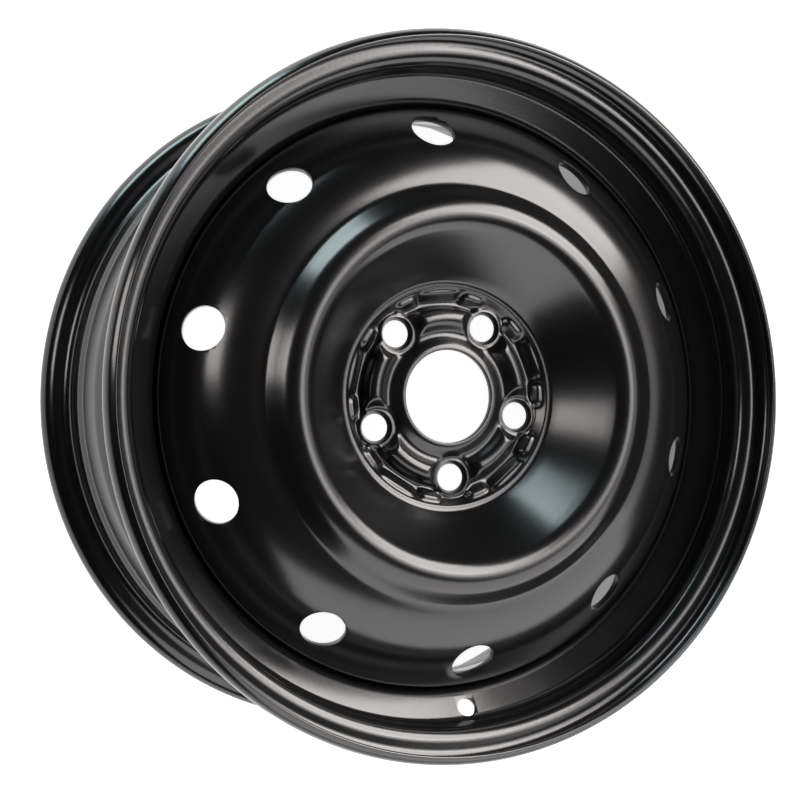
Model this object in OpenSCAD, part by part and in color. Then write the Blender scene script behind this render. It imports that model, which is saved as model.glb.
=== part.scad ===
// Pressed steel road wheel: a rolled rim, a pressed disc and the welds between them.
// The wheel's axis is Z, its outboard face looks up, and the hub's mounting face lies at z = 0.

/* [Rim] */
// Diameter of the bead seats
bead_d = 405.6; // [380:0.1:440]
// Width between the two flanges
rim_w = 165.1; // [150:0.1:190]
// Height of a flange above its bead seat
flange_h = 17.3; // [15:0.1:20]
// Thickness of the rim's sheet
rim_t = 2.5; // [2.2:0.1:3.2]
// Radius of the rolled lip, on its outer face
lip_r = 9; // [8:0.1:10]
// Angle that the lip rolls on past its highest point
lip_wrap = 72; // [40:1:80]
// Radius of the corner between flange and bead seat
bead_corner_r = 6.5; // [5:0.1:7]
// Taper of the bead seats
seat_taper = 5; // [3:0.5:7]
// Distance from a flange to the crest of its safety hump
hump_in = 20; // [18:0.5:22]
// Height of a safety hump above the bead seat's line
hump_h = 1.2; // [0.8:0.1:1.6]
// Depth of the drop centre below the bead seats
well_depth = 20.2; // [18:0.1:23]
// Width of the drop centre's floor
well_w = 57.8; // [53:0.1:62]
// Distance from the outboard flange to the drop centre's floor
well_in = 33.2; // [32:0.1:36]
// Distance from the inboard flange to the end of its ledge
ledge_in = 48; // [44:0.5:51]
// Drop of that ledge below the bead seat
ledge_drop = 5.8; // [4:0.1:7]

/* [Valve hole] */
// Diameter of the valve hole
valve_d = 11.5; // [8:0.1:13]
// Place of the valve hole on the drop centre's slope, from its foot to its top
valve_share = 0.66; // [0.55:0.01:0.68]

/* [Disc] */
// Offset of the mounting face outboard of the rim's middle
inset = 55; // [50:0.5:58]
// Thickness of the disc's sheet
disc_t = 3.8; // [3.4:0.1:4.2]
// Radius at the foot of the bowl's wall
bowl_r = 73; // [72.5:0.1:75]
// Height of the foot of the bowl's wall
bowl_z = 11.5; // [11:0.1:12.5]
// Radius at which the two sides of the crest would meet
crest_r = 108.5; // [107.5:0.1:110]
// Height at which the two sides of the crest would meet
crest_z = 52.5; // [50:0.5:54]
// Radius of the crease between crest and dome
crease_r = 126.5; // [125:0.1:128]
// Height of the dome at its crease
dome_z = 34.5; // [33:0.1:36]
// Radius at which the dome turns down to its shoulder
dome_r = 150; // [148:0.1:151.5]
// Height at which the dome turns
dome_turn_z = 31.5; // [30.5:0.1:33]
// Height of the shoulder above the edge of the drop centre
shoulder_h = 2.4; // [1.5:0.1:4]
// Length of the flange below the shoulder
disc_flange = 35; // [32:0.5:38]
// Gap between the disc's flange and the rim
fit_gap = 0.1; // [0.05:0.05:0.3]

/* [Hub] */
// Diameter of the centre bore
bore_d = 57.1; // [54:0.1:58]
// Height of the collar round the bore
collar_z = 10.6; // [10:0.1:11.5]
// Radius of the trough round the collar
trough_r = 37.4; // [36.5:0.1:38]
// Height of that trough
trough_z = 7.2; // [6.8:0.1:8]
// Radius of the pillows' inner edge
pillow_r = 46; // [45.5:0.1:47]
// Height of the pillows between the nut seats
pillow_z = 12.6; // [12:0.1:13.5]
// Radius of the hub's outer contact ring
hub_ring_r = 61; // [60.5:0.1:62]
// Radius of the top edge of the hub's wall
hub_wall_r = 67.3; // [67:0.1:68]
// Height of the top edge of the hub's wall
hub_wall_z = 10.6; // [10:0.1:11.2]

/* [Wheel nuts] */
// Number of wheel nuts
lug_n = 5; // [4:1:5]
// Diameter of the circle through the nut holes
lug_pcd = 100; // [98:0.1:102]
// Diameter of a nut hole
lug_d = 16.6; // [13:0.1:17]
// Diameter of a nut's seat at its mouth
seat_d = 20.4; // [19:0.1:21]
// Full angle of a nut's conical seat
seat_angle = 60; // [60:5:90]
// Height of the floor of a nut's pocket
pocket_z = 6.2; // [5.8:0.1:6.6]
// Diameter of the floor of a nut's pocket
pocket_d = 25.2; // [24:0.1:26]
// Slope of a pocket's wall from the wheel's axis
pocket_draft = 36; // [30:0.5:40]

/* [Hub wall] */
// Width of the flat between two nuts, as an angle
flat_span = 24; // [18:1:26]
// Angle from a nut to the tab beside it
tab_turn = 15; // [14:0.5:16]
// Width of a tab, as an angle
tab_span = 13; // [8:0.5:14]
// How far a flat stands in from the hub's contact ring
flat_in = 2.6; // [2:0.1:3]
// How far a tab stands in from the hub's contact ring
tab_in = 3.4; // [3:0.1:3.6]

/* [Vents] */
// Number of vents
vent_n = 10; // [5:1:12]
// Diameter of a vent
vent_d = 26.6; // [20:0.1:28]
// Radius from the wheel's axis to the middle of a vent
vent_r = 162.2; // [160.5:0.1:163]
// Angle at which the vents are punched, from the wheel's axis
vent_tilt = 25; // [15:1:50]

/* [Welds] */
// Number of welds
weld_n = 5; // [3:1:6]
// Length of a weld, as an angle
weld_span = 42; // [20:1:50]
// Leg of a weld's section
weld_leg = 4; // [3:0.1:4.5]

/* [Hidden] */
$fn = 96;
arc_miss = 0.05;
bend_room = 0.98;
edge_steps = 8;
turn_fn = 180;
first_turn = 270;
cut_over = 1;
paint = [0.09, 0.09, 0.095];

// Bends of the rim on its inner face, and as radii on its outer face
hump_inside = 1.5;
slope_inside = 4;
well_inside = 6;
hump_bend = rim_t + hump_inside;
hump_foot = 4.2;
lip_run = 0.1;
slope_bend = rim_t + slope_inside;
well_bend = rim_t + well_inside;
ledge_bend = 16;

// Bends of the disc under its sheet, and as radii on its outboard face
collar_inside = 0.4;
fold_inside = 0.3;
collar_w = 3;
collar_bend = disc_t + collar_inside;
trough_w = 2.8;
trough_bend = 2.5;
pillow_w = 6;
pillow_bend = disc_t + fold_inside;
ring_w = 5;
ring_bend = 2.2;
wall_bend = disc_t + fold_inside;
bowl_bend = 10;
crest_bend = 14;
crease_bend = 6;
dome_bend = 50;
shoulder_bend = 9;

// Places along the axis that rim and disc share
rim_mid_z = -inset;
front_z = rim_mid_z + rim_w / 2;
back_z = rim_mid_z - rim_w / 2;
bead_r = bead_d / 2;
flange_r = bead_r + flange_h;
well_r = bead_r - well_depth;
well_top_z = front_z - well_in;
well_inner_r = well_r - rim_t;
disc_r = well_inner_r - fit_gap;
shoulder_z = well_top_z + shoulder_h;
flange_end_z = shoulder_z - disc_flange;

// A unit vector, and a vector turned a quarter left
function unit(v) = v / norm(v);
function left(v) = [-v.y, v.x];

// Points along an arc about m, with chords that miss it by arc_miss at most
function arc(m, r, from, to) =
    let (n = max(2, ceil(abs(to - from) / 2 / acos(1 - arc_miss / r))))
    [for (i = [0:n]) m + r * [cos(from + (to - from) * i / n), sin(from + (to - from) * i / n)]];

// The arc of radius r that rounds the corner b between a and c
function bend(a, b, c, r) =
    let (
        u = unit(a - b),
        v = unit(c - b),
        half = acos(u * v) / 2,
        m = b + unit(u + v) * r / sin(half),
        s = b + u * r / tan(half) - m,
        e = b + v * r / tan(half) - m,
        from = atan2(s.y, s.x),
        sweep = (atan2(e.y, e.x) - from + 540) % 360 - 180
    )
    arc(m, r, from, from + sweep);

// How far a bend of radius r at the corner b reaches along each of its two sides
function reach(a, b, c, r) = r / tan(acos(unit(a - b) * unit(c - b)) / 2);

// A line through points [radius, height, bend], with each inner corner rounded,
// where two bends that would meet on the side between them are both limited by it
function rounded(p) =
    let (
        q = [for (k = p) [k.x, k.y]],
        last = len(p) - 1,
        inner = [1:last - 1],
        reaches = [0, for (i = inner) reach(q[i - 1], q[i], q[i + 1], p[i].z), 0],
        fits = [for (i = [1:last]) bend_room * norm(q[i] - q[i - 1]) / (reaches[i - 1] + reaches[i])]
    )
    [
        q[0],
        for (i = inner) each bend(q[i - 1], q[i], q[i + 1], p[i].z * min(1, fits[i - 1], fits[i])),
        q[last]
    ];

// A line moved sideways by d, to its left where d is positive
function beside(p, d) =
    let (last = len(p) - 1)
    [for (i = [0:last])
        let (
            a = left(unit(p[min(i + 1, last)] - p[min(i, last - 1)])),
            b = left(unit(p[max(i, 1)] - p[max(i - 1, 0)])),
            n = unit(a + b)
        )
        p[i] + n * d / (n * a)];

// The half round edge of a sheet, from point a to point b
function edge(a, b) =
    let (m = (a + b) / 2, from = atan2(a.y - m.y, a.x - m.x), step = 180 / edge_steps)
    [for (i = [1:edge_steps - 1]) m + norm(a - m) * [cos(from - step * i), sin(from - step * i)]];

function reversed(p) = [for (i = [len(p) - 1:-1:0]) p[i]];

// The rim's section, from its outboard lip to its inboard lip
function seat_r(d) = bead_r - d * tan(seat_taper);
lip_m = flange_r - lip_r;
slope_top = [seat_r(hump_in + hump_foot) - hump_h, front_z - hump_in - hump_foot];
slope_foot = [well_r, well_top_z];
rim_outer = concat(
    arc([lip_m, front_z + lip_r], lip_r, lip_wrap, -90),
    rounded([
        [lip_m - lip_run, front_z],
        [bead_r, front_z, bead_corner_r],
        [seat_r(hump_in - hump_foot), front_z - hump_in + hump_foot, slope_bend],
        [seat_r(hump_in) + hump_h, front_z - hump_in, hump_bend],
        [slope_top.x, slope_top.y, slope_bend],
        [slope_foot.x, slope_foot.y, well_bend],
        [well_r, well_top_z - well_w, well_bend],
        [bead_r - ledge_drop, back_z + ledge_in, ledge_bend],
        [seat_r(hump_in + hump_foot) - hump_h, back_z + hump_in + hump_foot, slope_bend],
        [seat_r(hump_in) + hump_h, back_z + hump_in, hump_bend],
        [seat_r(hump_in - hump_foot), back_z + hump_in - hump_foot, slope_bend],
        [bead_r, back_z, bead_corner_r],
        [lip_m - lip_run, back_z]
    ]),
    arc([lip_m, back_z - lip_r], lip_r, 90, -lip_wrap)
);
rim_inner = beside(rim_outer, -rim_t);
rim_section = concat(
    rim_outer,
    edge(rim_outer[len(rim_outer) - 1], rim_inner[len(rim_inner) - 1]),
    reversed(rim_inner),
    edge(rim_inner[0], rim_outer[0])
);

// The disc's outboard face, from its collar to the end of its flange
bore_r = bore_d / 2;
disc_face = rounded([
    [bore_r - cut_over, collar_z],
    [bore_r + collar_w, collar_z, collar_bend],
    [trough_r, trough_z, trough_bend],
    [trough_r + trough_w, trough_z, trough_bend],
    [pillow_r, pillow_z, pillow_bend],
    [pillow_r + pillow_w, pillow_z, pillow_bend],
    [hub_ring_r - ring_w, disc_t, ring_bend],
    [hub_ring_r, disc_t, ring_bend],
    [hub_wall_r, hub_wall_z, wall_bend],
    [bowl_r, bowl_z, bowl_bend],
    [crest_r, crest_z, crest_bend],
    [crease_r, dome_z, crease_bend],
    [dome_r, dome_turn_z, dome_bend],
    [disc_r, shoulder_z, shoulder_bend],
    [disc_r, flange_end_z]
]);
disc_section = concat(disc_face, reversed(beside(disc_face, -disc_t)));

// What lies under the hub's outboard face, down to the mounting face
hub_face = [for (p = disc_face) if (p.x < hub_wall_r) p];
hub_under = concat(hub_face, [[hub_face[len(hub_face) - 1].x, 0], [hub_face[0].x, 0]]);

// Shares of the hub wall's height to which the flats and tabs stand
flat_rise = 0.8;
tab_rise = 0.74;

// Sizes of a nut's pocket
lug_r = lug_pcd / 2;
pocket_grow = tan(pocket_draft);
pocket_top = pillow_z - pocket_z + cut_over;
pocket_back_z = pocket_z - disc_t;
pocket_back_r = pocket_d / 2 + disc_t / cos(pocket_draft) - disc_t * pocket_grow;
seat_grow = tan(seat_angle / 2);
seat_depth = (seat_d - lug_d) / 2 / seat_grow;
pad_wide = 1.2;
pad_lift = 0.5;

// Height of the dome at the vents, and the valve hole's place on the drop centre's slope
vent_z = lookup(vent_r, [[crease_r, dome_z], [dome_r, dome_turn_z], [disc_r, shoulder_z]]);
vent_cut = 10 * disc_t;
valve_at = slope_foot + (slope_top - slope_foot) * valve_share;
valve_tilt = atan2(slope_top.y - slope_foot.y, slope_top.x - slope_foot.x);
valve_cut = 4 * rim_t;

// Copies of the children about the wheel's axis, the first of them below it in the outboard view
module about(n, shift = 0) {
    for (i = [0:n - 1]) {
        rotate([0, 0, first_turn + shift + i * 360 / n]) children();
    }
}

module nut_places() {
    about(lug_n) translate([lug_r, 0, 0]) children();
}

// A body with its round wall sloped as a nut's pocket is, standing on height z
module pocket_cone(z, r, h) {
    translate([0, 0, z]) cylinder(h = h, r1 = r, r2 = r + h * pocket_grow);
}

// A straight ledge on the hub's wall, set in from the contact ring and standing to a share of the wall's height
module wall_ledge(set_in, span, share) {
    rise = [hub_wall_r - hub_ring_r, hub_wall_z - disc_t];
    foot = [hub_ring_r - set_in, disc_t];
    below = rise * disc_t / 2 / rise.y;
    top = foot + rise * share;
    section = [foot - below, top, [hub_wall_r, top.y], [hub_ring_r, foot.y - below.y]];
    rotate([90, 0, 0])
        linear_extrude(height = 2 * foot.x * tan(span / 2), center = true) polygon(section);
}

// The hub's flats between the nuts, and the tabs on both sides of each nut
module hub_ledges() {
    about(lug_n, 180 / lug_n) wall_ledge(flat_in, flat_span, flat_rise);
    for (side = [-1, 1]) {
        about(lug_n, side * tab_turn) wall_ledge(tab_in, tab_span, tab_rise);
    }
}

// The sheet below each nut's pocket, which follows the pocket on the inboard side, and the pad round the hole
module pocket_backs() {
    intersection() {
        rotate_extrude($fn = turn_fn) polygon(hub_under);
        nut_places() pocket_cone(pocket_back_z, pocket_back_r, pillow_z + cut_over);
    }
    nut_places() translate([0, 0, pocket_back_z + pad_lift])
        cylinder(h = disc_t, d1 = pocket_d + 2 * pad_wide, d2 = pocket_d - 2 * pad_wide);
}

module nut_cuts() {
    pocket_cone(pocket_z, pocket_d / 2, pocket_top);
    translate([0, 0, pocket_z - seat_depth])
        cylinder(h = seat_depth + cut_over, d1 = lug_d, d2 = seat_d + 2 * cut_over * seat_grow);
    translate([0, 0, -cut_over]) cylinder(h = pocket_z + cut_over, d = lug_d);
}

module rim() {
    color(paint)
    difference() {
        rotate_extrude($fn = turn_fn) polygon(rim_section);
        about(1) translate([valve_at.x, 0, valve_at.y]) rotate([0, -valve_tilt, 0])
            cylinder(h = valve_cut, d = valve_d, center = true);
    }
}

module disc() {
    color(paint)
    difference() {
        union() {
            rotate_extrude($fn = turn_fn) polygon(disc_section);
            pocket_backs();
            hub_ledges();
        }
        nut_places() nut_cuts();
        translate([0, 0, -cut_over]) cylinder(h = collar_z + 2 * cut_over, d = bore_d);
        about(vent_n) translate([vent_r, 0, vent_z]) rotate([0, vent_tilt, 0])
            cylinder(h = vent_cut, d = vent_d, center = true);
    }
}

// Quarter round beads in the corner between the end of the disc's flange and the rim
module weld_beads() {
    corner = [disc_r, flange_end_z];
    color(paint)
    about(weld_n, -weld_span / 2)
        rotate_extrude(angle = weld_span, $fn = turn_fn)
            polygon(concat([corner], arc(corner, weld_leg, 180, 270)));
}

rim();
disc();
weld_beads();
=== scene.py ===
from bisect import bisect_right
from math import atan2, ceil, cos, hypot, pi, radians, sin, tan

import bmesh
import bpy
from mathutils import Matrix, Vector


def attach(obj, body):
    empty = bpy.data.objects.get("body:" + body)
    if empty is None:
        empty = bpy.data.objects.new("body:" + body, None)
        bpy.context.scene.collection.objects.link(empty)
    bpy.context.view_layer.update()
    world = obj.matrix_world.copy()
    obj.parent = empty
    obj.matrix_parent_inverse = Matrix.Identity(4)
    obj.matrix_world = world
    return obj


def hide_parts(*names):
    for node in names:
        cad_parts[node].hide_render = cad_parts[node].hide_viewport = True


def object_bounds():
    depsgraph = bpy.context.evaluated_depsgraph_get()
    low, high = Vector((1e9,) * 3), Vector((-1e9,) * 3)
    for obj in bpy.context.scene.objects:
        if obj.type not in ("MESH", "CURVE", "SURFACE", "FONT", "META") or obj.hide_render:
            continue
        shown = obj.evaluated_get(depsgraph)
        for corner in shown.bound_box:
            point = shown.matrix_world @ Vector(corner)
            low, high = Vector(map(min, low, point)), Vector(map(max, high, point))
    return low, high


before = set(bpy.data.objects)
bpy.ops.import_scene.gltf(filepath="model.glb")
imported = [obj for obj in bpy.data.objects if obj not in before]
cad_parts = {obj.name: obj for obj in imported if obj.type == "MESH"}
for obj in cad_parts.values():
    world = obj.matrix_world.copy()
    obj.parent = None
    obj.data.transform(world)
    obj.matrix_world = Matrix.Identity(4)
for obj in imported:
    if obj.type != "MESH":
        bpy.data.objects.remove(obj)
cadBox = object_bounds()

mm = 0.001
firstTurn = radians(270)  # valve hole, one nut and one vent at the bottom of the view
scene = bpy.context.scene


# lines in the plane of radius and height, in mm
def arcPoints(middle, radius, start, end):
    step = min(radians(18), max(radians(4.5), 1.4 / radius))  # about 1.4 mm along the arc
    count = max(2, ceil(abs(end - start) / step))
    turns = [start + (end - start) * i / count for i in range(count + 1)]
    return [middle + radius * Vector((cos(t), sin(t))) for t in turns]


def bendPoints(a, b, c, radius):
    u, v = (a - b).normalized(), (c - b).normalized()
    half = u.angle(v) / 2
    middle = b + (u + v).normalized() * radius / sin(half)
    s, e = b + u * radius / tan(half) - middle, b + v * radius / tan(half) - middle
    start = atan2(s.y, s.x)
    sweep = (atan2(e.y, e.x) - start + 3 * pi) % (2 * pi) - pi
    return arcPoints(middle, radius, start, start + sweep)


def roundedLine(corners):  # corners are (radius, height, bend)
    points = [Vector(c[:2]) for c in corners]
    line = [points[0]]
    for i in range(1, len(points) - 1):
        line += bendPoints(points[i - 1], points[i], points[i + 1], corners[i][2])
    return line + [points[-1]]


def movedLine(line, distance):  # to the left of the way it runs
    moved = []
    for i, p in enumerate(line):
        ahead = (line[min(i + 1, len(line) - 1)] - line[min(i, len(line) - 2)]).normalized()
        behind = (line[max(i, 1)] - line[max(i - 1, 0)]).normalized()
        a, b = Vector((-ahead.y, ahead.x)), Vector((-behind.y, behind.x))
        n = (a + b).normalized()
        moved.append(p + n * distance / n.dot(a))
    return moved


def dividedLine(line, longest):  # longest(radius) is the longest step there
    out = [line[0]]
    for a, b in zip(line, line[1:]):
        count = max(1, ceil((b - a).length / longest((a.x + b.x) / 2)))
        out += [a.lerp(b, i / count) for i in range(1, count + 1)]
    return out


def spinLine(bm, front, back, edgeRound, steps):  # a closed sheet section, spun about the wheel's axis
    section = front + back[::-1]
    verts = [bm.verts.new((p.x * mm, 0, p.y * mm)) for p in section]
    for a, b in zip(verts, verts[1:] + verts[:1]):
        bm.edges.new((a, b))
    corners = [verts[0], verts[len(front) - 1], verts[len(front)], verts[-1]]
    bmesh.ops.bevel(bm, geom=corners, offset=edgeRound * mm, offset_type="OFFSET", segments=4,
                    profile=0.5, affect="VERTICES", material=-1, clamp_overlap=True)
    bmesh.ops.spin(bm, geom=bm.verts[:] + bm.edges[:], cent=(0, 0, 0), axis=(0, 0, 1),
                   angle=2 * pi, steps=steps, use_merge=True)
    bmesh.ops.remove_doubles(bm, verts=bm.verts[:], dist=0.002 * mm)
    bmesh.ops.recalc_face_normals(bm, faces=bm.faces[:])


def newPiece(name, bm):
    mesh = bpy.data.meshes.new(name)
    bm.to_mesh(mesh)
    bm.free()
    piece = bpy.data.objects.new(name, mesh)
    scene.collection.objects.link(piece)
    return piece


def cutPiece(piece, cutterBm):  # takes the cutters out of the piece and applies the cut
    cutter = newPiece(piece.name + "Cutters", cutterBm)
    cut = piece.modifiers.new("holes", "BOOLEAN")
    cut.operation = "DIFFERENCE"
    cut.solver = "MANIFOLD"
    cut.object = cutter
    bpy.context.view_layer.update()
    done = bpy.data.meshes.new_from_object(piece.evaluated_get(bpy.context.evaluated_depsgraph_get()))
    done.materials.clear()
    piece.modifiers.clear()
    piece.data = done
    bpy.data.objects.remove(cutter)


def smoothPiece(piece, sharpest, roundWidth=0, near=None, hubR=0, hubSharpest=0):
    bm = bmesh.new()
    bm.from_mesh(piece.data)
    bmesh.ops.remove_doubles(bm, verts=bm.verts[:], dist=0.01 * mm)
    if roundWidth:
        rims = [e for e in bm.edges if e.is_manifold and e.calc_face_angle() > sharpest and near(e)]
        bmesh.ops.bevel(bm, geom=rims, offset=roundWidth * mm, offset_type="OFFSET", segments=2,
                        profile=0.5, affect="EDGES", material=-1, clamp_overlap=True)
    for face in bm.faces:
        face.smooth = True
    for edge in bm.edges:
        limit = hubSharpest if edge.verts[0].co.xy.length < hubR * mm else sharpest
        edge.smooth = not edge.is_manifold or edge.calc_face_angle() < limit
    bm.to_mesh(piece.data)
    bm.free()


def newGroup(name, inputs, outputs):
    group = bpy.data.node_groups.new(name, "ShaderNodeTree")
    for label, kind in inputs:
        group.interface.new_socket(name=label, in_out="INPUT", socket_type=kind)
    for label, kind in outputs:
        group.interface.new_socket(name=label, in_out="OUTPUT", socket_type=kind)
    return group, group.nodes.new("NodeGroupInput"), group.nodes.new("NodeGroupOutput")


def paintFilmGroup():  # orange peel, cloudy gloss and fine dust of a dipped and baked paint
    group, given, out = newGroup(
        "paintFilm",
        [("Gloss", "NodeSocketFloat"), ("Cloud", "NodeSocketFloat"), ("Peel Size", "NodeSocketFloat")],
        [("Roughness", "NodeSocketFloat"), ("Peel", "NodeSocketFloat"), ("Dust", "NodeSocketFloat")])
    nodes, link = group.nodes, group.links.new
    place = nodes.new("ShaderNodeTexCoord")

    cloud = nodes.new("ShaderNodeTexNoise")
    cloud.inputs["Scale"].default_value = 26
    cloud.inputs["Detail"].default_value = 4
    link(place.outputs["Object"], cloud.inputs["Vector"])
    spread = nodes.new("ShaderNodeMapRange")
    spread.inputs["From Min"].default_value = 0.3
    spread.inputs["From Max"].default_value = 0.7
    spread.inputs["To Min"].default_value = -1
    link(cloud.outputs["Fac"], spread.inputs["Value"])
    rough = nodes.new("ShaderNodeMath")
    rough.operation = "MULTIPLY_ADD"
    link(spread.outputs["Result"], rough.inputs[0])
    link(given.outputs["Cloud"], rough.inputs[1])
    link(given.outputs["Gloss"], rough.inputs[2])
    link(rough.outputs["Value"], out.inputs["Roughness"])

    peel = nodes.new("ShaderNodeTexNoise")
    peel.inputs["Detail"].default_value = 2
    peel.inputs["Roughness"].default_value = 0.45
    link(place.outputs["Object"], peel.inputs["Vector"])
    link(given.outputs["Peel Size"], peel.inputs["Scale"])
    link(peel.outputs["Fac"], out.inputs["Peel"])

    specks = nodes.new("ShaderNodeTexNoise")
    specks.inputs["Scale"].default_value = 1500
    specks.inputs["Detail"].default_value = 1
    link(place.outputs["Object"], specks.inputs["Vector"])
    few = nodes.new("ShaderNodeMapRange")
    few.inputs["From Min"].default_value = 0.66
    few.inputs["From Max"].default_value = 0.8
    link(specks.outputs["Fac"], few.inputs["Value"])
    link(few.outputs["Result"], out.inputs["Dust"])
    return group


def paintedSheenMaskGroup(startR, fullR):  # painted sheen: mask of the faces that look at the axis out by the flange, where an extra shiny coat lightens the reflection seen through the vents
    group, _, out = newGroup("paintedSheenMask", [], [("Mask", "NodeSocketFloat")])
    nodes, link = group.nodes, group.links.new
    place = nodes.new("ShaderNodeTexCoord")
    flat = nodes.new("ShaderNodeVectorMath")
    flat.operation = "MULTIPLY"
    flat.inputs[1].default_value = (1, 1, 0)
    link(place.outputs["Object"], flat.inputs[0])
    far = nodes.new("ShaderNodeVectorMath")
    far.operation = "LENGTH"
    link(flat.outputs["Vector"], far.inputs[0])
    outer = nodes.new("ShaderNodeMapRange")
    outer.inputs["From Min"].default_value = startR * mm
    outer.inputs["From Max"].default_value = fullR * mm
    link(far.outputs["Value"], outer.inputs["Value"])
    facing = nodes.new("ShaderNodeVectorMath")
    facing.operation = "DOT_PRODUCT"
    link(flat.outputs["Vector"], facing.inputs[0])
    link(place.outputs["Normal"], facing.inputs[1])
    inward = nodes.new("ShaderNodeMath")
    inward.operation = "LESS_THAN"
    inward.inputs[1].default_value = 0
    link(facing.outputs["Value"], inward.inputs[0])
    both = nodes.new("ShaderNodeMath")
    both.operation = "MULTIPLY"
    link(outer.outputs["Result"], both.inputs[0])
    link(inward.outputs["Value"], both.inputs[1])
    link(both.outputs["Value"], out.inputs["Mask"])
    return group


def blackPaint(name, film, s):
    material = bpy.data.materials.new(name)
    material.use_nodes = True
    nodes, link = material.node_tree.nodes, material.node_tree.links.new
    shader = nodes["Principled BSDF"]
    coat = nodes.new("ShaderNodeGroup")
    coat.node_tree = film
    coat.inputs["Gloss"].default_value = s["roughness"]
    coat.inputs["Cloud"].default_value = s["cloud"]
    coat.inputs["Peel Size"].default_value = s["peelSize"]
    link(coat.outputs["Roughness"], shader.inputs["Roughness"])
    colour = nodes.new("ShaderNodeMix")
    colour.data_type = "RGBA"
    colour.inputs["A"].default_value = (*s["colour"], 1)
    colour.inputs["B"].default_value = (*s["dust"], 1)
    link(coat.outputs["Dust"], colour.inputs["Factor"])
    link(colour.outputs["Result"], shader.inputs["Base Color"])
    bump = nodes.new("ShaderNodeBump")
    bump.inputs["Strength"].default_value = s["peelStrength"]
    bump.inputs["Distance"].default_value = s["peelDepth"]
    link(coat.outputs["Peel"], bump.inputs["Height"])
    link(bump.outputs["Normal"], shader.inputs["Normal"])
    shader.inputs["IOR"].default_value = paintIor
    # painted sheen: an extra shiny coat on the masked inner faces lightens their reflection, standing in for the
    # light seen through the vents
    if s.get("paintedSheenIor"):
        inner = nodes.new("ShaderNodeGroup")
        inner.node_tree = paintedSheenMaskGroup(*s["paintedSheenFrom"])
        link(inner.outputs["Mask"], shader.inputs["Coat Weight"])
        shader.inputs["Coat IOR"].default_value = s["paintedSheenIor"]
        shader.inputs["Coat Roughness"].default_value = s["paintedSheenRough"]
    return material


paintIor = 1.55
film = paintFilmGroup()
discPaint = blackPaint("discPaint", film, {
    "colour": (0.0035, 0.0035, 0.0036), "dust": (0.012, 0.012, 0.012), "roughness": 0.22, "cloud": 0.02,
    "peelSize": 420, "peelStrength": 0.05, "peelDepth": 0.0004,
    # painted sheen on the inner faces out by the flange: coat IOR, coat roughness and the radii where it starts
    # and is full
    "paintedSheenIor": 1.9, "paintedSheenRough": 0.25, "paintedSheenFrom": (150, 156)})
rimPaint = blackPaint("rimPaint", film, {
    "colour": (0.0035, 0.0035, 0.0036), "dust": (0.012, 0.012, 0.012), "roughness": 0.19, "cloud": 0.02,
    "peelSize": 420, "peelStrength": 0.05, "peelDepth": 0.0004})
weldPaint = blackPaint("weldPaint", film, {
    "colour": (0.005, 0.005, 0.005), "dust": (0.02, 0.02, 0.02), "roughness": 0.3, "cloud": 0.05,
    "peelSize": 900, "peelStrength": 0.35, "peelDepth": 0.0006})
print("paints made")

# rim hoop, sizes in mm and degrees
rim = {
    "beadR": 202.8, "width": 165.1, "middleZ": -55, "flangeH": 17.3, "sheet": 2.5,
    "lipR": 9, "lipWrap": 72, "beadCorner": 6.5, "taper": 5, "humpIn": 20, "humpH": 1.2, "humpFoot": 4.2,
    "wellR": 182.6, "wellIn": 33.2, "wellW": 57.8, "ledgeIn": 48, "ledgeDrop": 5.8,
    "humpBend": 4, "slopeBend": 6.5, "wellBend": 8.5, "ledgeBend": 16,
    "valveD": 11.5, "valveShare": 0.66, "valveRound": 0.5, "valveCut": 14, "valveReach": 12,
    "steps": 360, "edgeRound": 1.2, "sharpest": 35,
}


def rimLine(s):
    top, bottom = s["middleZ"] + s["width"] / 2, s["middleZ"] - s["width"] / 2
    seat = lambda depth: s["beadR"] - depth * tan(radians(s["taper"]))
    lipM = s["beadR"] + s["flangeH"] - s["lipR"]
    over, under, hump = s["humpIn"] - s["humpFoot"], s["humpIn"] + s["humpFoot"], s["humpIn"]
    line = arcPoints(Vector((lipM, top + s["lipR"])), s["lipR"], radians(s["lipWrap"]), -pi / 2)
    line += roundedLine([
        (lipM - 0.1, top),
        (s["beadR"], top, s["beadCorner"]),
        (seat(over), top - over, s["slopeBend"]),
        (seat(hump) + s["humpH"], top - hump, s["humpBend"]),
        (seat(under) - s["humpH"], top - under, s["slopeBend"]),
        (s["wellR"], top - s["wellIn"], s["wellBend"]),
        (s["wellR"], top - s["wellIn"] - s["wellW"], s["wellBend"]),
        (s["beadR"] - s["ledgeDrop"], bottom + s["ledgeIn"], s["ledgeBend"]),
        (seat(under) - s["humpH"], bottom + under, s["slopeBend"]),
        (seat(hump) + s["humpH"], bottom + hump, s["humpBend"]),
        (seat(over), bottom + over, s["slopeBend"]),
        (s["beadR"], bottom, s["beadCorner"]),
        (lipM - 0.1, bottom)])
    return line + arcPoints(Vector((lipM, bottom - s["lipR"])), s["lipR"], pi / 2, -radians(s["lipWrap"]))


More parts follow.
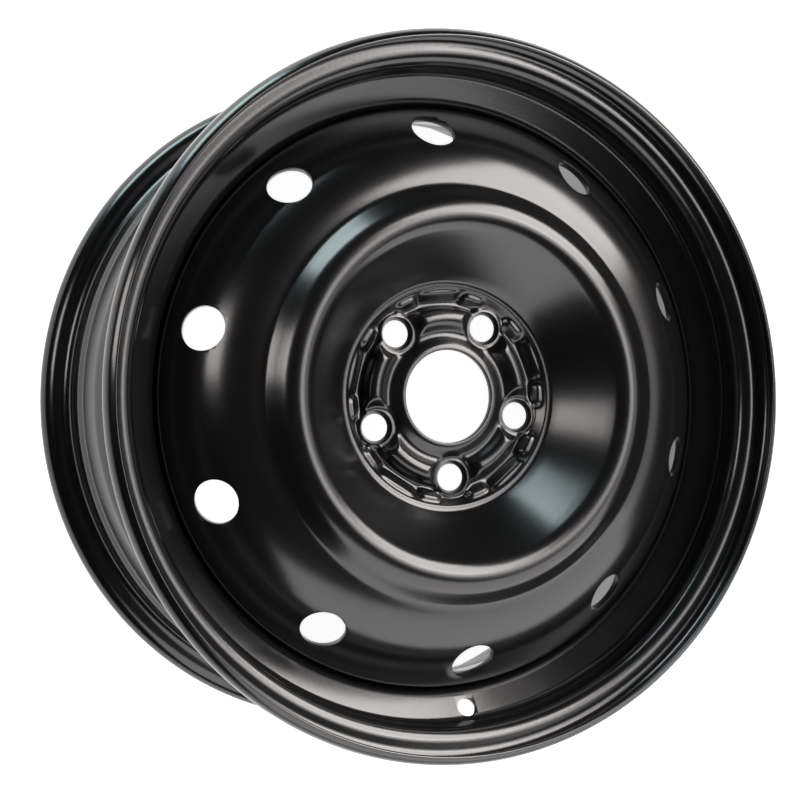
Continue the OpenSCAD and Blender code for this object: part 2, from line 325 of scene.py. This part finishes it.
def makeRim(s):
    outer = rimLine(s)
    bm = bmesh.new()
    spinLine(bm, outer, movedLine(outer, -s["sheet"]), s["edgeRound"], s["steps"])
    piece = newPiece("rimHoop", bm)
    top = s["middleZ"] + s["width"] / 2
    under = s["humpIn"] + s["humpFoot"]
    foot = Vector((s["wellR"], top - s["wellIn"]))
    head = Vector((s["beadR"] - under * tan(radians(s["taper"])) - s["humpH"], top - under))
    at, tilt = foot.lerp(head, s["valveShare"]), atan2(head.y - foot.y, head.x - foot.x)
    cutter = bmesh.new()
    place = Matrix.Rotation(firstTurn, 4, "Z") @ Matrix.Translation((at.x * mm, 0, at.y * mm))
    bmesh.ops.create_cone(cutter, cap_ends=True, segments=64, radius1=s["valveD"] / 2 * mm,
                          radius2=s["valveD"] / 2 * mm, depth=s["valveCut"] * mm,
                          matrix=place @ Matrix.Rotation(-tilt, 4, "Y"))
    cutPiece(piece, cutter)
    atHole = lambda e: (e.verts[0].co - place.translation).length < s["valveReach"] * mm
    smoothPiece(piece, radians(s["sharpest"]), s["valveRound"], atHole)
    return piece


rimHoop = makeRim(rim)
rimHoop.data.materials.append(rimPaint)
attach(rimHoop, "root")
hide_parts("rim")
print("rim:", len(rimHoop.data.polygons), "faces")

# pressed disc, sizes in mm and degrees
disc = {
    "sheet": 3.8, "boreR": 28.55, "collarZ": 10.6, "collarW": 3, "collarBend": 4.2,
    "troughR": 37.4, "troughZ": 7.2, "troughW": 2.8, "troughBend": 2.5,
    "pillowR": 46, "pillowZ": 12.6, "pillowW": 6, "pillowBend": 4.1,
    "ringR": 61, "ringW": 5, "ringBend": 2.2, "wallR": 67.3, "wallZ": 10.6, "backWallBend": 4.1,
    "bowlR": 73, "bowlZ": 11.5, "bowlBend": 10, "crestR": 108.5, "crestZ": 52.5, "crestBend": 14,
    "creaseR": 126.5, "creaseZ": 34.5, "creaseBend": 6, "domeR": 150, "domeZ": 31.5, "domeBend": 50,
    "outerR": 180, "shoulderZ": -3.25, "shoulderBend": 9, "flangeEndZ": -38.25,
    "archR": 50.2, "archZ": 16.3, "archBend": 6.4,  # the face's own pillow, wall edge and bowl foot
    "footR": 70.4, "footZ": 10.9, "wallBend": 1.3, "footBend": 3.5,
    "nutN": 5, "nutR": 50, "nutHoleR": 8.3, "seatR": 10.2, "seatAngle": 60,
    "pocketZ": 6.2, "pocketR": 12.6, "pocketDraft": 36, "pocketSoft": 2.2, "pocketReach": 26,
    "padR": 11.9, "padFall": 1.7, "padSoft": 1,
    "flatSpan": 24, "flatIn": 2.6, "flatRise": 0.8, "tabTurn": 15, "tabSpan": 13, "tabIn": 3.4, "tabRise": 0.74,
    "tabFall": 5, "tabSoft": 0.7, "hubR": 76, "hubLineR": 80, "hubSmooth": 4, "hubSharpest": 57,
    "ventN": 10, "ventD": 26.6, "ventR": 162.2, "ventTilt": 25, "ventRound": 0.5, "ventFrom": 140, "ventTo": 178,
    "fineR": 72, "fine": (0.75, 6), "coarse": (2, 9), "steps": 340, "edgeRound": 0.8, "sharpest": 38,
}


def discLine(s, pillow, wallBend, foot):
    return roundedLine([
        (s["boreR"], s["collarZ"]),
        (s["boreR"] + s["collarW"], s["collarZ"], s["collarBend"]),
        (s["troughR"], s["troughZ"], s["troughBend"]),
        (s["troughR"] + s["troughW"], s["troughZ"], s["troughBend"]),
        *pillow,
        (s["ringR"] - s["ringW"], s["sheet"], s["ringBend"]),
        (s["ringR"], s["sheet"], s["ringBend"]),
        (s["wallR"], s["wallZ"], wallBend),
        foot,
        (s["crestR"], s["crestZ"], s["crestBend"]),
        (s["creaseR"], s["creaseZ"], s["creaseBend"]),
        (s["domeR"], s["domeZ"], s["domeBend"]),
        (s["outerR"], s["shoulderZ"], s["shoulderBend"]),
        (s["outerR"], s["flangeEndZ"])])


def lower(a, b, soft):  # the lower of two heights, with a soft corner
    near = max(soft - abs(a - b), 0) / soft
    return min(a, b) - near * near * soft / 4


def upper(a, b, soft):
    return -lower(-a, -b, soft)


def heightAt(line, limit):  # height of a line over a radius
    inner = [p for p in line if p.x < limit]
    radii = [p.x for p in inner]

    def height(r):
        i = min(max(bisect_right(radii, r), 1), len(inner) - 1)
        a, b = inner[i - 1], inner[i]
        return a.y + (b.y - a.y) * (r - a.x) / max(b.x - a.x, 1e-6)

    return height


def pressHub(bm, s, front, back):  # presses flats, tabs and nut pockets into the spun hub
    frontAt, backAt = heightAt(front, s["hubLineR"]), heightAt(back, s["hubLineR"])
    wallH = s["wallZ"] - s["sheet"]
    rise = wallH / (s["wallR"] - s["ringR"])
    draft = tan(radians(s["pocketDraft"]))
    part = 2 * pi / s["nutN"]
    pressed = []
    for v in bm.verts:
        x, y, z = v.co / mm
        r = hypot(x, y)
        if r > s["hubR"]:
            continue
        turn = (atan2(y, x) - firstTurn + part / 2) % part - part / 2  # from the nearest nut
        side = 1 if turn > 0 else -1
        away = hypot(r * cos(turn) - s["nutR"], r * sin(turn))
        top, under = frontAt(r), backAt(r)
        onFront = abs(z - top) < abs(z - under)
        start = new = top if onFront else under
        drop = 0 if onFront else s["sheet"]
        if onFront:
            for middle, span, setIn, share in (
                    (side * part / 2, s["flatSpan"], s["flatIn"], s["flatRise"]),
                    (side * radians(s["tabTurn"]), s["tabSpan"], s["tabIn"], s["tabRise"])):
                foot = s["ringR"] - setIn
                u, w = r * cos(turn - middle), abs(r * sin(turn - middle))
                pad = min(s["sheet"] + (u - foot) * rise, s["sheet"] + wallH * share)
                past = max(0, w - foot * tan(radians(span / 2)))
                new = upper(new, pad - past * s["tabFall"], s["tabSoft"])
        if away < s["pocketReach"]:
            floorZ = s["pocketZ"] - drop
            past = max(0, away - s["pocketR"] - drop * 0.6)  # the back's pocket is wider
            new = lower(new, floorZ + past / draft, s["pocketSoft"])
            new = upper(new, floorZ - max(0, away - s["padR"]) * s["padFall"], s["padSoft"])
        v.co.z += (new - start) * mm
        if onFront and s["boreR"] + 2 < r < s["wallR"] - 0.8:  # not the bore's and the wall's edges
            pressed.append(v)
    for _ in range(s["hubSmooth"]):
        bmesh.ops.smooth_vert(bm, verts=pressed, factor=0.5, use_axis_z=True)


def cutVents(cutter, s):
    slope = atan2(s["domeZ"] - s["shoulderZ"], s["outerR"] - s["domeR"])
    ventZ = s["domeZ"] - (s["ventR"] - s["domeR"]) * tan(slope)
    for i in range(s["ventN"]):
        place = Matrix.Rotation(firstTurn + 2 * pi * i / s["ventN"], 4, "Z") @ Matrix.Translation(
            (s["ventR"] * mm, 0, ventZ * mm)) @ Matrix.Rotation(radians(s["ventTilt"]), 4, "Y")
        bmesh.ops.create_cone(cutter, cap_ends=True, segments=72, radius1=s["ventD"] / 2 * mm,
                              radius2=s["ventD"] / 2 * mm, depth=38 * mm, matrix=place)


def cutNuts(cutter, s):  # a cone for the seat, drawn down into the hole below it
    seatH = (s["seatR"] - s["nutHoleR"]) * tan(radians(s["seatAngle"]))
    for i in range(s["nutN"]):
        place = Matrix.Rotation(firstTurn + 2 * pi * i / s["nutN"], 4, "Z") @ Matrix.Translation(
            (s["nutR"] * mm, 0, (s["pocketZ"] + 0.5 - seatH / 2) * mm))
        seat = bmesh.ops.create_cone(cutter, cap_ends=True, segments=64, radius1=s["nutHoleR"] * mm,
                                     radius2=(s["seatR"] + 1 / tan(radians(s["seatAngle"]))) * mm,
                                     depth=(seatH + 1) * mm, matrix=place)
        foot = min(seat["verts"], key=lambda v: v.co.z).co.z
        base = [f for f in cutter.faces if all(v in seat["verts"] and v.co.z < foot + 1e-5 for v in f.verts)]
        grown = bmesh.ops.extrude_face_region(cutter, geom=base)
        ends = [v for v in grown["geom"] if isinstance(v, bmesh.types.BMVert)]
        bmesh.ops.translate(cutter, vec=(0, 0, -12 * mm), verts=ends)
        bmesh.ops.delete(cutter, geom=base, context="FACES_ONLY")


def makeDisc(s):
    fine = lambda r: s["fine"][r >= s["fineR"]]
    coarse = lambda r: s["coarse"][r >= s["fineR"]]
    pillow = [(s["pillowR"], s["pillowZ"], s["pillowBend"]),
              (s["pillowR"] + s["pillowW"], s["pillowZ"], s["pillowBend"])]
    sheetLine = discLine(s, pillow, s["backWallBend"], (s["bowlR"], s["bowlZ"], s["bowlBend"]))
    back = movedLine(sheetLine, -s["sheet"])
    arch = [(s["archR"], s["archZ"], s["archBend"])]
    front = discLine(s, arch, s["wallBend"], (s["footR"], s["footZ"], s["footBend"]))
    bm = bmesh.new()
    spinLine(bm, dividedLine(front, fine), dividedLine(back, coarse), s["edgeRound"], s["steps"])
    pressHub(bm, s, front, back)
    piece = newPiece("pressedDisc", bm)

    cutter = bmesh.new()
    cutVents(cutter, s)
    cutNuts(cutter, s)
    cutPiece(piece, cutter)
    faceAt = heightAt(front, s["ventTo"] - 4)

    def onFace(edge):  # the vents' outer edges only, the inner ones stay as pierced
        r, z = edge.verts[0].co.xy.length / mm, edge.verts[0].co.z / mm
        return s["ventFrom"] < r < s["ventTo"] and abs(z - faceAt(r)) < 1

    smoothPiece(piece, radians(s["sharpest"]), s["ventRound"], onFace, s["hubLineR"], radians(s["hubSharpest"]))
    return piece


pressedDisc = makeDisc(disc)
pressedDisc.data.materials.append(discPaint)
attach(pressedDisc, "root")
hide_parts("disc")
print("disc:", len(pressedDisc.data.polygons), "faces")

# welds between the disc's flange and the rim, on the inboard side
weld = {"count": 5, "span": 42, "leg": 4, "ripple": 0.07, "pitch": 2.2, "fade": 5, "steps": 150}


def makeWelds(s, cornerR, cornerZ):
    bm = bmesh.new()
    section = [Vector((cornerR, cornerZ))] + arcPoints(Vector((cornerR, cornerZ)), s["leg"], pi, 1.5 * pi)
    for i in range(s["count"]):
        start = firstTurn - radians(s["span"] / 2) + 2 * pi * i / s["count"]
        turned = Matrix.Rotation(start, 3, "Z")
        verts = [bm.verts.new(turned @ Vector((p.x * mm, 0, p.y * mm))) for p in section]
        face = bm.faces.new(verts)
        bmesh.ops.spin(bm, geom=[face], cent=(0, 0, 0), axis=(0, 0, 1),
                       angle=radians(s["span"]), steps=s["steps"])
    bmesh.ops.remove_doubles(bm, verts=bm.verts[:], dist=0.005 * mm)
    bmesh.ops.recalc_face_normals(bm, faces=bm.faces[:])
    part = 2 * pi / s["count"]
    for v in bm.verts:
        turn = (atan2(v.co.y, v.co.x) - firstTurn + part / 2) % part - part / 2
        along = turn * cornerR
        toEnd = radians(s["span"] / 2) * cornerR - abs(along)
        grow = 1 - s["ripple"] * (0.5 + 0.5 * cos(2 * pi * along / s["pitch"]))
        grow *= 0.25 + 0.75 * min(1, (toEnd + 0.3) / s["fade"]) ** 0.5
        r = hypot(v.co.x, v.co.y) / mm
        newR = cornerR + (r - cornerR) * grow
        v.co.x *= newR / r
        v.co.y *= newR / r
        v.co.z = (cornerZ + (v.co.z / mm - cornerZ) * grow) * mm
    return newPiece("weldBeads", bm)


weldBeads = makeWelds(weld, disc["outerR"], disc["flangeEndZ"])
smoothPiece(weldBeads, radians(50))
weldBeads.data.materials.append(weldPaint)
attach(weldBeads, "root")
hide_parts("weld_beads")
print("welds:", len(weldBeads.data.polygons), "faces")

# floor, light and camera
studio = {
    "floorColour": (0.86, 0.86, 0.86), "floorGlow": 0.93, "floorSize": 120,
    "world": (0.012, 0.012, 0.013),
}
studioLights = [  # turn and height in degrees about the wheel, size across and up, and brightness
    {"name": "keyUpperRight", "turn": 36, "height": 44, "far": 1.6, "across": 0.85, "up": 1.2,
     "bright": 12, "colour": (1, 0.96, 0.94)},
    {"name": "highRight", "turn": 12, "height": 65, "far": 1.6, "across": 0.55, "up": 0.5,
     "bright": 5, "colour": (1, 0.97, 0.96)},
    {"name": "sideGlow", "turn": 352, "height": 50, "far": 1.6, "across": 0.7, "up": 0.9,
     "bright": 1.6, "colour": (1, 0.98, 0.97)},
    {"name": "coolTop", "turn": 112, "height": 9, "far": 1.6, "across": 0.75, "up": 0.55,
     "bright": 11, "colour": (0.78, 0.97, 1)},
    {"name": "leftSide", "turn": 160, "height": 25.5, "far": 0.53, "across": 0.16, "up": 0.15,
     "bright": 8, "colour": (1, 0.96, 0.94)},
    {"name": "lowFill", "turn": 284, "height": 30, "far": 0.51, "across": 0.95, "up": 0.46,
     "bright": 2.9, "colour": (1, 0.98, 0.97)},
]
viewCamera = {"place": (-0.42051, 0.00788, 0.93739), "turn": (1.3374, -22.6761, -4.6257), "lens": 74.65}


def makeFloor(s):
    bm = bmesh.new()
    bmesh.ops.create_grid(bm, x_segments=1, y_segments=1, size=s["floorSize"] / 2)
    floor = newPiece("studioFloor", bm)
    floor.location.z = cadBox[0].z
    material = bpy.data.materials.new("palePaper")
    material.use_nodes = True
    nodes, link = material.node_tree.nodes, material.node_tree.links.new
    shader = nodes["Principled BSDF"]
    shader.inputs["Base Color"].default_value = (*s["floorColour"], 1)
    shader.inputs["Roughness"].default_value = 0.9
    shader.inputs["Specular IOR Level"].default_value = 0.1
    shader.inputs["Emission Color"].default_value = (1, 1, 1, 1)
    path = nodes.new("ShaderNodeLightPath")
    seen = nodes.new("ShaderNodeMath")
    seen.operation = "MAXIMUM"
    link(path.outputs["Is Camera Ray"], seen.inputs[0])
    link(path.outputs["Is Glossy Ray"], seen.inputs[1])
    through = nodes.new("ShaderNodeMath")
    through.operation = "MAXIMUM"
    link(seen.outputs["Value"], through.inputs[0])
    link(path.outputs["Is Transmission Ray"], through.inputs[1])
    glow = nodes.new("ShaderNodeMath")
    glow.operation = "MULTIPLY"
    glow.inputs[1].default_value = s["floorGlow"]
    link(through.outputs["Value"], glow.inputs[0])
    link(glow.outputs["Value"], shader.inputs["Emission Strength"])
    floor.data.materials.append(material)
    return floor


def makeLight(s):
    lamp = bpy.data.lights.new(s["name"], "AREA")
    lamp.shape = "RECTANGLE"
    lamp.size, lamp.size_y = s["across"], s["up"]
    lamp.energy = s["bright"] * pi * s["across"] * s["up"]
    lamp.color = s["colour"]
    light = bpy.data.objects.new(s["name"], lamp)
    turn, height = radians(s["turn"]), radians(s["height"])
    light.location = s["far"] * Vector((cos(turn) * cos(height), sin(turn) * cos(height), sin(height)))
    light.rotation_euler = light.location.to_track_quat("Z", "Y").to_euler()
    scene.collection.objects.link(light)


makeFloor(studio)
for each in studioLights:
    makeLight(each)
world = scene.world or bpy.data.worlds.new("studioWorld")
scene.world = world
world.use_nodes = True
world.node_tree.nodes["Background"].inputs["Color"].default_value = (*studio["world"], 1)
world.node_tree.nodes["Background"].inputs["Strength"].default_value = 1

eye = bpy.data.cameras.new("viewCamera")
eye.lens = viewCamera["lens"]
eye.sensor_width = 36
eye.clip_start = 0.01
camera = bpy.data.objects.new("viewCamera", eye)
camera.location = viewCamera["place"]
camera.rotation_euler = [radians(a) for a in viewCamera["turn"]]
scene.collection.objects.link(camera)
scene.camera = camera
scene.view_settings.view_transform = "Standard"
print("studio ready")
